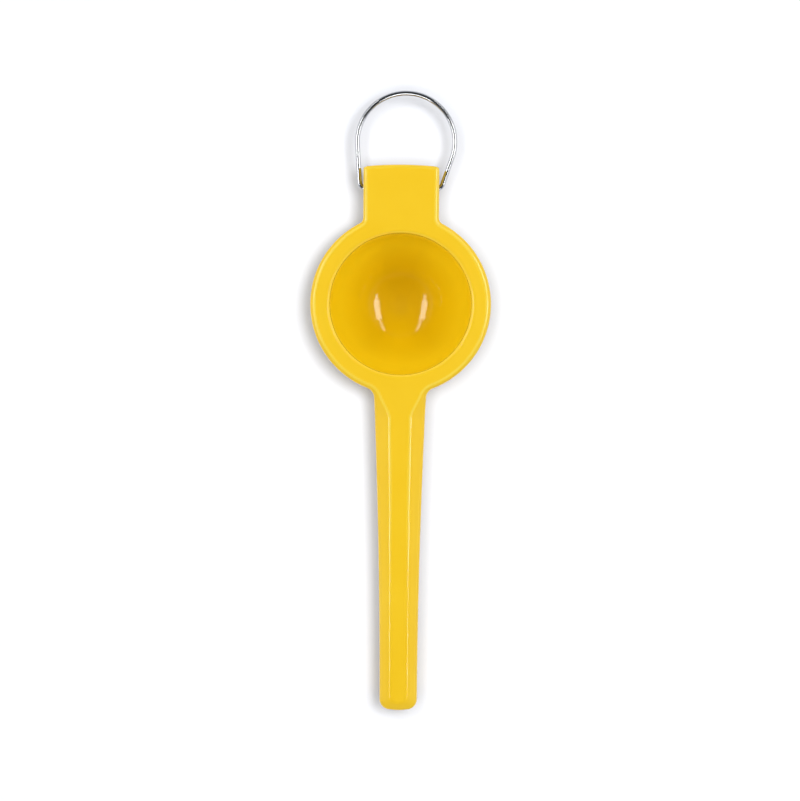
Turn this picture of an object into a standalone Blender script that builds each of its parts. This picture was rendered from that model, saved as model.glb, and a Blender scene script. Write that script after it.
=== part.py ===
"""A hand press for lemon halves: two cast, enamelled arms on one hinge pin, with a wire loop to hang it by.

The press lies as it does on a table: +Z is up, the handles run towards -Y and the hinge is at +Y.
The origin is the middle of the flat base under the cup. Sizes are in metres and angles in degrees.
"""

import math

import bmesh
import bpy
from mathutils import Matrix, Vector

# Hollow dome of the upper arm that presses the fruit, and the rim round its mouth
MOUTH_RADIUS = 0.0281
DOME_WALL = 0.0028
RIM_THICKNESS = 0.0050
RIM_OVERHANG = 0.0004
EDGE_ROUNDING = 0.0008
EDGE_CHAMFER = 0.0005

# Cup of the lower arm, with its lip, flat base and drain holes.
# Each ring of holes has FIRST_RING_HOLES more than the last.
CUP_CLEARANCE = 0.0011
CUP_WALL = 0.0030
LIP_BAND = 0.0004
LIP_HEIGHT = 0.0040
FLOOR_GAP = 0.0030
FLOOR_THICKNESS = 0.0030
BASE_RADIUS = 0.0110
DRAIN_RADIUS = 0.0020
DRAIN_SPACING = 0.0067
DRAIN_RINGS = 3
FIRST_RING_HOLES = 6

# Head of the upper arm: a plate with two cheeks, round about the hinge
HINGE_OFFSET = 0.0100
HEAD_LENGTH = 0.0093
HEAD_WIDTH = 0.0300
HEAD_BOW_RADIUS = 0.1440
HEAD_CORNER = 0.0015
CHEEK_THICKNESS = 0.0036
CHEEK_RADIUS = 0.0085

# Tongue of the lower arm, between the cheeks
KNUCKLE_RADIUS = 0.0045
HINGE_GAP = 0.0004
TONGUE_DEPTH = 0.0060
OPENING_ANGLE = 120.0
STOP_BLEND = 5.0
FILLET = 0.0020

# Both handles: widths over all and of the flat land along the back, with sides that fall gently beside it
HANDLE_LENGTH = 0.1249
NECK_WIDTH = 0.0207
END_WIDTH = 0.0150
TAPER_POWER = 1.85
NECK_FILLET = 0.0040
END_CORNER = 0.0041
END_BOW_RADIUS = 0.0190
LAND_NECK_WIDTH = 0.0090
LAND_END_WIDTH = 0.0066
RIM_BEVEL = 0.0016
HEAD_BEVEL = 0.0010
BEVEL_BLEND = 0.0300
LAND_FLARE_LENGTH = 0.0130
LAND_FLARE_EASE = 0.0020
LAND_CORNER = 0.0026
LAND_ROUNDING = 0.0008
LAND_END_ROUNDING = 0.0026
SIDE_SLOPE = 28.0
END_SLOPE_LENGTH = 0.0030
HANDLE_DEPTH = 0.0120
HANDLE_ARCH = 0.0030
DEEPENING_LENGTH = 0.0740
GUSSET_LENGTH = 0.0060
LOWER_NARROWING = 0.0010
LOWER_SHORTENING = 0.0015
DIP_START = 0.0300
DIP_END = 0.0250

# Channel cast into the open side of each handle
CHANNEL_WALL = 0.0026
CHANNEL_DRAFT = 4.0
CHANNEL_ROOF = 0.0028
CHANNEL_START = 0.0130
CHANNEL_END = 0.0060
CHANNEL_RUNOUT = 0.0120
CHANNEL_TIP_DEPTH = 0.0006

# Tubular hinge pin, and the wire loop sprung into its ends
PIN_RADIUS = 0.0025
PIN_BORE_RADIUS = 0.0014
PIN_RECESS = 0.0015
PIN_CHAMFER = 0.0003
WIRE_RADIUS = 0.0010
LOOP_RADIUS = 0.0193
LOOP_REACH = 0.0187
LOOP_LEAN = 0.0018
LOOP_SIDE_GAP = 0.0006
LOOP_BEND = 0.0030
LOOP_STUB = 0.0050

# Gap that seated pieces keep, and how far a cutter runs past what it cuts
SEAT_GAP = 0.0003
OVERRUN = 0.0010

# Counts of facets, and the angle from which an edge between them stays sharp
ROUND_STEPS = 64
BOWL_STEPS = 9
RIM_STEPS = 22
HANDLE_STEPS = 16
CORNER_STEPS = 4
FILLET_STEPS = 5
EDGE_STEPS = 4
LAND_STEPS = 3
DRAIN_STEPS = 12
PIN_STEPS = 24
LOOP_STEPS = 30
BEND_STEPS = 5
WIRE_BEVEL_STEPS = 2
SHARP_ANGLE = 35.0

# Colours of the finishes, linear
ENAMEL_YELLOW = (0.90, 0.56, 0.012, 1.0)
STEEL_GREY = (0.58, 0.58, 0.58, 1.0)

# Heights and places that follow from the sizes above
DOME_RADIUS = MOUTH_RADIUS + DOME_WALL
CUP_RADIUS = DOME_RADIUS + CUP_CLEARANCE
CUP_OUTSIDE = CUP_RADIUS + CUP_WALL
LIP_RADIUS = CUP_OUTSIDE + LIP_BAND
RIM_RADIUS = LIP_RADIUS + RIM_OVERHANG
HINGE_REACH = RIM_RADIUS + HINGE_OFFSET
HANDLE_REACH = RIM_RADIUS + HANDLE_LENGTH
CUP_DEPTH = DOME_RADIUS - SEAT_GAP + FLOOR_GAP
LIP_TOP = FLOOR_THICKNESS + CUP_DEPTH
RIM_UNDERSIDE = LIP_TOP + SEAT_GAP
RIM_TOP = RIM_UNDERSIDE + RIM_THICKNESS
HINGE_HEIGHT = RIM_UNDERSIDE - HINGE_GAP - KNUCKLE_RADIUS
HINGE_POINT = Vector((0.0, HINGE_REACH, HINGE_HEIGHT))
HEAD_END = HINGE_REACH + HEAD_LENGTH
TONGUE_HALF = HEAD_WIDTH / 2 - CHEEK_THICKNESS - HINGE_GAP
HOLE_RADIUS = PIN_RADIUS + SEAT_GAP


def clear_scene():
    for thing in list(bpy.data.objects):
        bpy.data.objects.remove(thing, do_unlink=True)


def finish(name, colour, roughness, metallic, coat=0.0):
    """A Principled material."""
    material = bpy.data.materials.new(name)
    material.use_nodes = True
    shader = material.node_tree.nodes["Principled BSDF"]
    shader.inputs["Base Color"].default_value = colour
    shader.inputs["Roughness"].default_value = roughness
    shader.inputs["Metallic"].default_value = metallic
    shader.inputs["Coat Weight"].default_value = coat
    return material


def smooth(share):
    """Eases a share of the way from 0 to 1."""
    share = min(max(share, 0.0), 1.0)
    return share * share * (3 - 2 * share)


def ramp(run, length, ease_in, ease_out):
    """Share of a straight slope over this length, eased at both ends, that is climbed at this run."""
    run = min(max(run, 0.0), length)
    steady = length - (ease_in + ease_out) / 2
    if run < ease_in:
        return run**2 / (2 * ease_in * steady)
    left = length - run
    if left < ease_out:
        return 1 - left**2 / (2 * ease_out * steady)
    return (run - ease_in / 2) / steady


def taper(neck_half, end_half, share):
    """Half width of a handle this share of the way from its neck to its end."""
    return end_half + (neck_half - end_half) * (1 - share) ** TAPER_POWER


def arc(centre, radius, start, end, steps):
    """Points on an arc in plan, both ends included; the angles are in radians."""
    angles = [start + (end - start) * i / steps for i in range(steps + 1)]
    return [Vector((centre[0] + radius * math.cos(a), centre[1] + radius * math.sin(a))) for a in angles]


def bow(x, radius):
    """How far an edge bowed to this radius falls back at x."""
    return x**2 / (2 * radius)


def arm_outline(rim, head_half, head_end, neck_half, end_half, handle_end):
    """The +X half of an arm's outline in plan, from the end of the head round the rim to the handle's end."""
    points = []
    corner_x = head_half - HEAD_CORNER
    for i in range(CORNER_STEPS):
        x = corner_x * (i + 0.5) / CORNER_STEPS
        points.append(Vector((x, head_end - bow(x, HEAD_BOW_RADIUS))))
    corner_y = head_end - bow(corner_x, HEAD_BOW_RADIUS) - HEAD_CORNER
    points += arc((corner_x, corner_y), HEAD_CORNER, math.pi / 2, 0.0, CORNER_STEPS)

    head_x = head_half + FILLET
    head_y = math.sqrt((rim + FILLET) ** 2 - head_x**2)
    head_turn = math.atan2(head_y, head_x)
    points += arc((head_x, head_y), FILLET, math.pi, math.pi + head_turn, FILLET_STEPS)

    neck_x = neck_half + NECK_FILLET
    neck_y = math.sqrt((rim + NECK_FILLET) ** 2 - neck_x**2)
    neck_turn = math.atan2(neck_y, neck_x)
    points += arc((0.0, 0.0), rim, head_turn, -neck_turn, RIM_STEPS)[1:-1]
    points += arc((neck_x, -neck_y), NECK_FILLET, math.pi - neck_turn, math.pi, FILLET_STEPS)

    end = handle_end_outline(end_half, handle_end, END_CORNER)
    for i in range(1, HANDLE_STEPS):
        share = i / HANDLE_STEPS
        points.append(Vector((taper(neck_half, end_half, share), -neck_y + (end[0].y + neck_y) * share)))
    return points + end


def handle_end_outline(end_half, handle_end, corner):
    """The +X half of the outline round a handle's bowed end."""
    corner_x = end_half - corner
    corner_y = -handle_end + bow(corner_x, END_BOW_RADIUS) + corner
    points = arc((corner_x, corner_y), corner, 0.0, -math.pi / 2, CORNER_STEPS)
    points.append(Vector((corner_x / 2, -handle_end + bow(corner_x / 2, END_BOW_RADIUS))))
    return points


def inward(line, i):
    """Unit vector at point i of an outline, square to it and towards its inside."""
    along = (line[min(i + 1, len(line) - 1)] - line[max(i - 1, 0)]).normalized()
    return Vector((along.y, -along.x))


def round_corner(start, corner, end, steps):
    """Points of a curve that leaves start and reaches end along the two sides of a corner."""
    shares = [i / steps for i in range(steps + 1)]
    return [start * (1 - t) ** 2 + corner * (2 * t * (1 - t)) + end * t**2 for t in shares]


class Arm:
    """Plan and heights of one arm.

    The open side faces the other arm: it lies in the plane where the arms meet and holds the channel.
    The land is the flat strip along the arm's outer side.
    """

    def __init__(self, rim, head_half, head_end, narrowing, shortening, open_height, land_height):
        self.neck_half = (NECK_WIDTH - narrowing) / 2
        self.end_half = (END_WIDTH - narrowing) / 2
        self.land_neck_half = (LAND_NECK_WIDTH - narrowing) / 2
        self.land_end_half = (LAND_END_WIDTH - narrowing) / 2
        self.reach = HANDLE_REACH - shortening
        self.neck = math.sqrt((rim + NECK_FILLET) ** 2 - (self.neck_half + NECK_FILLET) ** 2)
        self.length = self.reach - self.neck
        self.open_height = open_height
        self.land_height = land_height
        self.outline = arm_outline(rim, head_half, head_end, self.neck_half, self.end_half, self.reach)
        self.land_line = self.land_outline()

    def open_z(self, y):
        return self.open_height(-y - self.neck, self.length)

    def land_z(self, y):
        return self.land_height(-y - self.neck, self.length)

    def halves(self, y):
        """Half widths of the handle over all and of its land at this y."""
        share = (-y - self.neck) / self.length
        return (
            taper(self.neck_half, self.end_half, share),
            taper(self.land_neck_half, self.land_end_half, share),
        )

    def land_outline(self):
        """Outline of the land: a bevel inside the rim and head, then flared in to the handle's strip."""
        end = handle_end_outline(self.land_end_half, self.reach - END_SLOPE_LENGTH, LAND_CORNER)
        flare_start = len(self.outline) - len(end) - HANDLE_STEPS - FILLET_STEPS
        line = []
        run = 0.0
        for i in range(len(self.outline) - len(end)):
            edge = self.outline[i]
            if i > flare_start:
                run += (edge - self.outline[i - 1]).length
            half, land_half = self.halves(min(edge.y, -self.neck))
            bevel = HEAD_BEVEL + (RIM_BEVEL - HEAD_BEVEL) * smooth((HINGE_REACH - edge.y) / BEVEL_BLEND)
            flared = ramp(run, LAND_FLARE_LENGTH, LAND_FLARE_EASE, LAND_FLARE_EASE)
            line.append(edge + inward(self.outline, i) * (bevel + (half - land_half - bevel) * flared))
        return line + end

    def section(self, place):
        """One side of the arm's section there: land, gentle side, rounded shoulder, wall and open side."""
        land, edge = self.land_line[place], self.outline[place]
        inside = inward(self.land_line, place)
        foot = Vector((edge.x, edge.y, self.open_z(edge.y)))
        up = math.copysign(1.0, self.land_z(edge.y) - foot.z)
        fall = (edge - land).length * math.tan(math.radians(SIDE_SLOPE))
        shoulder = Vector((edge.x, edge.y, self.land_z(edge.y) - up * fall))
        crest = Vector((land.x, land.y, self.land_z(land.y)))
        width = (shoulder - crest).length

        def back(run):
            """The point this far back from the shoulder, up the side and on along the land."""
            if run < width:
                return shoulder + (crest - shoulder) * (run / width)
            spot = land + inside * (run - width)
            return Vector((spot.x, spot.y, self.land_z(spot.y)))

        softening = smooth((-land.y - self.neck) / self.length)
        rounding = LAND_ROUNDING + (LAND_END_ROUNDING - LAND_ROUNDING) * softening
        near = max(width - rounding, EDGE_ROUNDING + EDGE_CHAMFER)
        far = max(width + rounding, near + EDGE_CHAMFER)
        middle = width if near < width else (near + far) / 2
        lift = Vector((0.0, 0.0, up))
        points = round_corner(back(far), back(middle), back(near), LAND_STEPS)
        points += round_corner(back(EDGE_ROUNDING), shoulder, shoulder - lift * EDGE_ROUNDING, EDGE_STEPS)
        points.append(foot + lift * EDGE_CHAMFER)
        under = edge + inward(self.outline, place) * EDGE_CHAMFER
        points.append(Vector((under.x, under.y, self.open_z(under.y))))
        return points

    def blank(self, name):
        """The arm's plate and handle as one closed solid, without dome, cup, hinge or channel."""
        mesh = bmesh.new()
        halves = []
        for side in (1, -1):
            rows = []
            for i in range(len(self.land_line)):
                rows.append([mesh.verts.new((side * p.x, p.y, p.z)) for p in self.section(i)])
            halves.append(rows)
            for row, following in zip(rows, rows[1:]):
                for k in range(len(row) - 1):
                    mesh.faces.new((row[k], row[k + 1], following[k + 1], following[k]))
        right, left = halves
        for i in range(len(right) - 1):
            for k in (0, -1):
                mesh.faces.new((right[i][k], right[i + 1][k], left[i + 1][k], left[i][k]))
        for i in (0, -1):
            for k in range(len(right[i]) - 1):
                mesh.faces.new((right[i][k], right[i][k + 1], left[i][k + 1], left[i][k]))
        return closed_object(name, mesh)

    def channel(self, name):
        """Cutter for the channel in the handle's open side. Its roof follows the back; both ends run out."""
        first = self.neck + CHANNEL_START
        last = self.reach - CHANNEL_END
        draft = math.tan(math.radians(CHANNEL_DRAFT))
        mesh = bmesh.new()
        rows = []
        for i in range(HANDLE_STEPS + 1):
            y = -first - (last - first) * i / HANDLE_STEPS
            half, land_half = self.halves(y)
            open_z, land_z = self.open_z(y), self.land_z(y)
            up = math.copysign(1.0, land_z - open_z)
            full_cut = abs(land_z - open_z) - CHANNEL_ROOF
            runout = min(-y - first, last + y)
            cut = CHANNEL_TIP_DEPTH + (full_cut - CHANNEL_TIP_DEPTH) * smooth(runout / CHANNEL_RUNOUT)
            mouth_half = half - CHANNEL_WALL
            roof_half = mouth_half - draft * cut
            side_fall = (roof_half - land_half) * math.tan(math.radians(SIDE_SLOPE))
            side_cut = cut * (1 - side_fall / full_cut)
            right = [
                (mouth_half + draft * OVERRUN, open_z - up * OVERRUN),
                (roof_half, open_z + up * side_cut),
                (land_half, open_z + up * cut),
            ]
            corners = right + [(-x, z) for x, z in reversed(right)]
            rows.append([mesh.verts.new((x, y, z)) for x, z in corners])
        for row, following in zip(rows, rows[1:]):
            for k in range(len(row)):
                beside = (k + 1) % len(row)
                mesh.faces.new((row[k], row[beside], following[beside], following[k]))
        mesh.faces.new(rows[0])
        mesh.faces.new(rows[-1])
        return helper(closed_object(name, mesh))


def closed_object(name, mesh):
    """An object from a closed bmesh, with its faces turned out and its round parts shaded smooth."""
    bmesh.ops.remove_doubles(mesh, verts=mesh.verts, dist=1e-6)
    bmesh.ops.recalc_face_normals(mesh, faces=mesh.faces)
    data = bpy.data.meshes.new(name)
    mesh.to_mesh(data)
    mesh.free()
    data.shade_smooth()
    data.set_sharp_from_angle(angle=math.radians(SHARP_ANGLE))
    thing = bpy.data.objects.new(name, data)
    bpy.context.scene.collection.objects.link(thing)
    return thing


def helper(thing):
    """Marks a cutter, or a shape that only adds to another, as no piece of its own."""
    thing.hide_render = True
    thing.display_type = "WIRE"
    return thing


def turned(name, profile, axis=(0, 0, 1), steps=ROUND_STEPS, centre=(0, 0, 0)):
    """A solid turned about an axis through centre, from (radius, height) points along its outer side."""
    mesh = bmesh.new()
    verts = [mesh.verts.new((radius, 0.0, height)) for radius, height in profile]
    edges = [mesh.edges.new(pair) for pair in zip(verts, verts[1:])]
    bmesh.ops.spin(
        mesh, geom=verts + edges, cent=(0, 0, 0), axis=(0, 0, 1), angle=2 * math.pi,
        steps=steps, use_merge=True,
    )
    turn = Vector((0, 0, 1)).rotation_difference(Vector(axis)).to_matrix().to_4x4()
    bmesh.ops.transform(mesh, matrix=Matrix.Translation(centre) @ turn, verts=mesh.verts)
    return closed_object(name, mesh)


def bowl_profile(radius, depth, height, start_drop=0.0, end_radius=0.0):
    """Points of a quarter ellipse that is widest at this height, from start_drop below it to end_radius."""
    first = math.asin(start_drop / depth)
    last = math.acos(end_radius / radius)
    angles = [first + (last - first) * i / BOWL_STEPS for i in range(BOWL_STEPS + 1)]
    return [(radius * math.cos(a), height - depth * math.sin(a)) for a in angles]


def slab(name, outline, first_x, last_x):
    """A plate between two planes across X, from (y, z) points round its outline."""
    mesh = bmesh.new()
    face = mesh.faces.new([mesh.verts.new((first_x, y, z)) for y, z in outline])
    made = bmesh.ops.extrude_face_region(mesh, geom=[face])
    moved = [item for item in made["geom"] if isinstance(item, bmesh.types.BMVert)]
    bmesh.ops.translate(mesh, verts=moved, vec=(last_x - first_x, 0, 0))
    return closed_object(name, mesh)


def hinge_arc(radius, start, end, steps):
    """Points (y, z) on a circle about the hinge; angles in degrees from +Y towards +Z."""
    return [tuple(p) for p in arc(HINGE_POINT.yz, radius, math.radians(start), math.radians(end), steps)]


def combine(thing, other, operation):
    """Adds or cuts one shape, with the exact solver."""
    step = thing.modifiers.new(other.name, "BOOLEAN")
    step.operation = operation
    step.solver = "EXACT"
    step.object = other


def pin_hole(name):
    """Cutter for the hole that the hinge pin passes through."""
    half = HEAD_WIDTH / 2 + OVERRUN
    profile = [(0, half), (HOLE_RADIUS, half), (HOLE_RADIUS, -half), (0, -half)]
    return helper(turned(name, profile, (1, 0, 0), PIN_STEPS, HINGE_POINT))


def make_upper_arm(enamel):
    """Rim, dome, hinge head and handle, cast in one."""

    def land_height(past_neck, length):
        return RIM_TOP - HANDLE_ARCH * (max(past_neck, 0.0) / length) ** 2

    def open_height(past_neck, length):
        deepening = (HANDLE_DEPTH - RIM_THICKNESS) * smooth(past_neck / DEEPENING_LENGTH)
        return land_height(past_neck, length) - RIM_THICKNESS - deepening

    arm = Arm(RIM_RADIUS, HEAD_WIDTH / 2, HEAD_END, 0.0, 0.0, open_height, land_height)
    upper = arm.blank("upper_arm")
    upper.data.materials.append(enamel)

    rim_middle = (RIM_UNDERSIDE + RIM_TOP) / 2
    dome = turned(
        "dome_outside",
        [(0, rim_middle), (DOME_RADIUS, rim_middle)] + bowl_profile(DOME_RADIUS, DOME_RADIUS, RIM_UNDERSIDE),
    )
    combine(upper, helper(dome), "UNION")
    cheek = (
        [(HINGE_REACH - CHEEK_RADIUS, rim_middle)]
        + hinge_arc(CHEEK_RADIUS, 180, 360, ROUND_STEPS // 4)
        + [(HINGE_REACH + CHEEK_RADIUS, rim_middle)]
    )
    outside = HEAD_WIDTH / 2
    for side in (1, -1):
        plate = slab(f"cheek_{side:+d}", cheek, side * (outside - CHEEK_THICKNESS), side * outside)
        combine(upper, helper(plate), "UNION")
    bowl = turned(
        "bowl_inside",
        [(0, RIM_TOP + OVERRUN), (MOUTH_RADIUS, RIM_TOP + OVERRUN)]
        + bowl_profile(MOUTH_RADIUS, MOUTH_RADIUS, RIM_UNDERSIDE),
    )
    combine(upper, helper(bowl), "DIFFERENCE")
    combine(upper, arm.channel("upper_channel"), "DIFFERENCE")
    combine(upper, pin_hole("cheek_hole"), "DIFFERENCE")
    return upper


def make_lower_arm(enamel):
    """Cup, tongue and handle, cast in one. The handle dips until its end rests level with the cup's base."""
    drop = LIP_TOP - HANDLE_DEPTH

    def open_height(past_neck, length):
        return LIP_TOP - drop * ramp(past_neck, length, DIP_START, DIP_END)

    def land_height(past_neck, length):
        gusset = (HANDLE_DEPTH - LIP_HEIGHT) * smooth(1 + past_neck / GUSSET_LENGTH)
        return open_height(past_neck, length) - LIP_HEIGHT - gusset

    arm = Arm(
        LIP_RADIUS, TONGUE_HALF, HINGE_REACH, LOWER_NARROWING, LOWER_SHORTENING, open_height, land_height
    )
    lower = arm.blank("lower_arm")
    lower.data.materials.append(enamel)

    depth = LIP_TOP / math.sqrt(1 - (BASE_RADIUS / CUP_OUTSIDE) ** 2)
    lip_half = LIP_HEIGHT / 2
    profile = bowl_profile(CUP_OUTSIDE, depth, LIP_TOP, start_drop=lip_half, end_radius=BASE_RADIUS)
    cup = turned("cup_outside", [(0, LIP_TOP - lip_half)] + profile + [(0, 0)])
    combine(lower, helper(cup), "UNION")
    combine(lower, helper(slab("tongue", tongue_outline(), -TONGUE_HALF, TONGUE_HALF)), "UNION")
    inside = turned(
        "cup_inside",
        [(0, LIP_TOP + OVERRUN), (CUP_RADIUS, LIP_TOP + OVERRUN)]
        + bowl_profile(CUP_RADIUS, CUP_DEPTH, LIP_TOP),
    )
    combine(lower, helper(inside), "DIFFERENCE")
    combine(lower, drain_holes(), "DIFFERENCE")
    combine(lower, arm.channel("lower_channel"), "DIFFERENCE")
    combine(lower, pin_hole("tongue_hole"), "DIFFERENCE")
    return lower


def tongue_outline():
    """Side view of the tongue: level top, round knuckle, then the slanted face that stops the upper arm."""
    stop_angle = 90.0 - OPENING_ANGLE
    facing = Vector((math.cos(math.radians(stop_angle)), math.sin(math.radians(stop_angle))))
    along = Vector((facing.y, -facing.x))
    # The head plate's underside passes this far from the hinge; at full opening it meets the stop face.
    start = HINGE_POINT.yz + facing * (KNUCKLE_RADIUS + HINGE_GAP - SEAT_GAP)
    bottom = HINGE_HEIGHT - TONGUE_DEPTH
    end = start + along * ((bottom - start.y) / along.y)
    inner_y = CUP_RADIUS - CUP_WALL
    return (
        [(inner_y, HINGE_HEIGHT + KNUCKLE_RADIUS)]
        + hinge_arc(KNUCKLE_RADIUS, 90, stop_angle + STOP_BLEND, ROUND_STEPS // 4)
        + [tuple(start), tuple(end), (inner_y, bottom)]
    )


def drain_holes():
    """Cutter with all drain holes, upright through the cup's floor in rings about a whole middle."""
    mesh = bmesh.new()
    for ring in range(1, DRAIN_RINGS + 1):
        ring_radius = ring * DRAIN_SPACING
        count = ring * FIRST_RING_HOLES
        for i in range(count):
            turn = 2 * math.pi * i / count
            place = Matrix.Translation((ring_radius * math.sin(turn), ring_radius * math.cos(turn), 0))
            bmesh.ops.create_cone(
                mesh, cap_ends=True, segments=DRAIN_STEPS, radius1=DRAIN_RADIUS, radius2=DRAIN_RADIUS,
                depth=LIP_TOP, matrix=place,
            )
    return helper(closed_object("drain_holes", mesh))


def make_hinge_pin(steel):
    """Tube through the cheeks and the tongue, its ends a little inside the cheeks."""
    half = HEAD_WIDTH / 2 - PIN_RECESS
    profile = [
        (PIN_BORE_RADIUS, half),
        (PIN_RADIUS - PIN_CHAMFER, half),
        (PIN_RADIUS, half - PIN_CHAMFER),
        (PIN_RADIUS, -half + PIN_CHAMFER),
        (PIN_RADIUS - PIN_CHAMFER, -half),
        (PIN_BORE_RADIUS, -half),
        (PIN_BORE_RADIUS, half),
    ]
    pin = turned("hinge_pin", profile, (1, 0, 0), PIN_STEPS, HINGE_POINT)
    pin.data.materials.append(steel)
    return pin


def loop_path():
    """Middle line of the wire, in plan about the hinge: stub, bend, leg, round bow, leg, bend, stub."""
    side = HEAD_WIDTH / 2 + LOOP_SIDE_GAP + WIRE_RADIUS
    stub_end = side - LOOP_BEND - LOOP_STUB
    halves = []
    for sign in (1, -1):
        # The leg leaves the bend's outer side and touches the bow, which leans to +X.
        bend_centre = Vector((side - LOOP_BEND, LOOP_BEND))
        centre = Vector((sign * LOOP_LEAN, LOOP_REACH))
        reach = centre - bend_centre
        lean = math.asin((LOOP_RADIUS - LOOP_BEND) / reach.length)
        touch = math.atan2(reach.y, reach.x) - math.pi / 2 - lean
        half = [Vector((stub_end, 0.0))]
        half += arc(bend_centre, LOOP_BEND, -math.pi / 2, touch, BEND_STEPS)
        half += arc(centre, LOOP_RADIUS, touch, math.pi / 2, LOOP_STEPS // 2)
        halves.append([Vector((sign * p.x, p.y)) for p in half])
    right, left = halves
    return right + left[-2::-1]


def make_hanging_loop(steel):
    """Round wire, in line with the press."""
    curve = bpy.data.curves.new("hanging_loop", "CURVE")
    curve.dimensions = "3D"
    curve.bevel_depth = WIRE_RADIUS
    curve.bevel_resolution = WIRE_BEVEL_STEPS
    curve.use_fill_caps = True
    path = loop_path()
    wire = curve.splines.new("POLY")
    wire.points.add(len(path) - 1)
    for point, place in zip(wire.points, path):
        point.co = (place.x, HINGE_POINT.y + place.y, HINGE_POINT.z, 1.0)
    loop = bpy.data.objects.new("hanging_loop", curve)
    bpy.context.scene.collection.objects.link(loop)
    loop.data.materials.append(steel)
    return loop


def hang_on_hinge(pieces):
    """Parents the pieces that turn to an empty on the hinge's axis."""
    hinge = bpy.data.objects.new("hinge_axis", None)
    hinge.location = HINGE_POINT
    bpy.context.scene.collection.objects.link(hinge)
    for piece in pieces:
        piece.parent = hinge
        piece.matrix_parent_inverse = Matrix.Translation(-HINGE_POINT)


def main():
    clear_scene()
    enamel = finish("yellow_enamel", ENAMEL_YELLOW, 0.25, 0.0, coat=0.6)
    steel = finish("stainless_steel", STEEL_GREY, 0.22, 1.0)
    upper = make_upper_arm(enamel)
    make_lower_arm(enamel)
    make_hinge_pin(steel)
    loop = make_hanging_loop(steel)
    hang_on_hinge((upper, loop))


main()
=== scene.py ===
"""Looks of the hand press for lemon halves: two castings in glossy yellow enamel, hinge pin and wire loop.

The castings are drawn again here from the press's own sizes, far finer than the solids, and then melted
a little, as a thick enamel rounds every edge and fills every inner corner. Sizes are in metres.
"""

import math

import bmesh
import bpy
from mathutils import Matrix, Vector
from mathutils.kdtree import KDTree


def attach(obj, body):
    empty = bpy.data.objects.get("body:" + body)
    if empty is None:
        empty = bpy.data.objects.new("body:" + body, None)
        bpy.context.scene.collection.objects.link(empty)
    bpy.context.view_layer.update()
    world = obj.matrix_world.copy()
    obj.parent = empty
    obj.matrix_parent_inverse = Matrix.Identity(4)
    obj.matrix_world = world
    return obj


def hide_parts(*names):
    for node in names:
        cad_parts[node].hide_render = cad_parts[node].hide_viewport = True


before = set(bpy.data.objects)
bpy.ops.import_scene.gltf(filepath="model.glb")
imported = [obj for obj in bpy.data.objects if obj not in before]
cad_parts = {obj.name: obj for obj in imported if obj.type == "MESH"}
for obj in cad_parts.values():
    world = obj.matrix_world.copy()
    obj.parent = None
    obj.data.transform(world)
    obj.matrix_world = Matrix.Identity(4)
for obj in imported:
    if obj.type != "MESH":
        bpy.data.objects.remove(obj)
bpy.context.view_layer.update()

# Dome, rim and cup
MOUTH_RADIUS = 0.0281
MOUTH_ROUNDING = 0.0008
MOUTH_STEPS = 8
DOME_RADIUS = 0.0309
RIM_RADIUS = 0.03577
RIM_THICKNESS = 0.0050
RIM_TOP = 0.0419
RIM_UNDERSIDE = 0.0369
CUP_RADIUS = 0.0320
CUP_WALL = 0.0030
CUP_OUTSIDE = 0.0350
CUP_DEPTH = 0.0336
LIP_RADIUS = 0.0354
LIP_TOP = 0.0366
LIP_HEIGHT = 0.0040
BASE_RADIUS = 0.0110
DRAIN_RADIUS = 0.0020
DRAIN_SPACING = 0.0067
DRAIN_RINGS = 3
FIRST_RING_HOLES = 6

# Hinge
HINGE = Vector((0.0, 0.0458, 0.0320))
HEAD_WIDTH = 0.0300
HEAD_END = 0.0551
HEAD_BOW_RADIUS = 0.1440
HEAD_CORNER = 0.0015
CHEEK_THICKNESS = 0.0036
CHEEK_RADIUS = 0.0085
KNUCKLE_RADIUS = 0.0045
TONGUE_HALF = 0.0110
TONGUE_DEPTH = 0.0060
STOP_REACH = 0.0046
STOP_ANGLE = -30.0
STOP_BLEND = 5.0
FILLET = 0.0020
HOLE_RADIUS = 0.0028

# Handles
HANDLE_REACH = 0.1607
NECK_WIDTH = 0.0206
END_WIDTH = 0.0149
TAPER_POWER = 1.85
NECK_FILLET = 0.0040
END_CORNER = 0.0041
END_BOW_RADIUS = 0.0190
LAND_NECK_WIDTH = 0.0084
LAND_END_WIDTH = 0.0062
RIM_BEVEL = 0.0016
HEAD_BEVEL = 0.0010
BEVEL_BLEND = 0.0300
LAND_FLARE_LENGTH = 0.0130
LAND_FLARE_EASE_IN = 0.0060
LAND_FLARE_EASE_OUT = 0.0020
LAND_CORNER = 0.0026
LAND_ROUNDING = 0.0004
LAND_END_ROUNDING = 0.0010
SIDE_SLOPE = 28.0
END_SLOPE_LENGTH = 0.0030
HANDLE_DEPTH = 0.0120
EDGE_ROUNDING = 0.0008
EDGE_CHAMFER = 0.0004
HANDLE_ARCH = 0.0030
DEEPENING_LENGTH = 0.0740
GUSSET_LENGTH = 0.0060
LOWER_NARROWING = 0.0010
LOWER_SHORTENING = 0.0015
DIP_START = 0.0300
DIP_END = 0.0250
CHANNEL_WALL = 0.0026
CHANNEL_DRAFT = 4.0
CHANNEL_ROOF = 0.0028
CHANNEL_START = 0.0130
CHANNEL_END = 0.0060
CHANNEL_RUNOUT = 0.0120
CHANNEL_TIP_DEPTH = 0.0006

# Pin and wire loop
PIN_HALF = 0.0135
PIN_RADIUS = 0.0025
PIN_BORE_RADIUS = 0.0014
PIN_EDGE = 0.0003
WIRE_RADIUS = 0.0010
LOOP_RADIUS = 0.0193
LOOP_REACH = 0.0187
LOOP_LEAN = 0.0018
LOOP_SIDE = 0.0166
LOOP_BEND = 0.0030
LOOP_STUB = 0.0050

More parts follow.
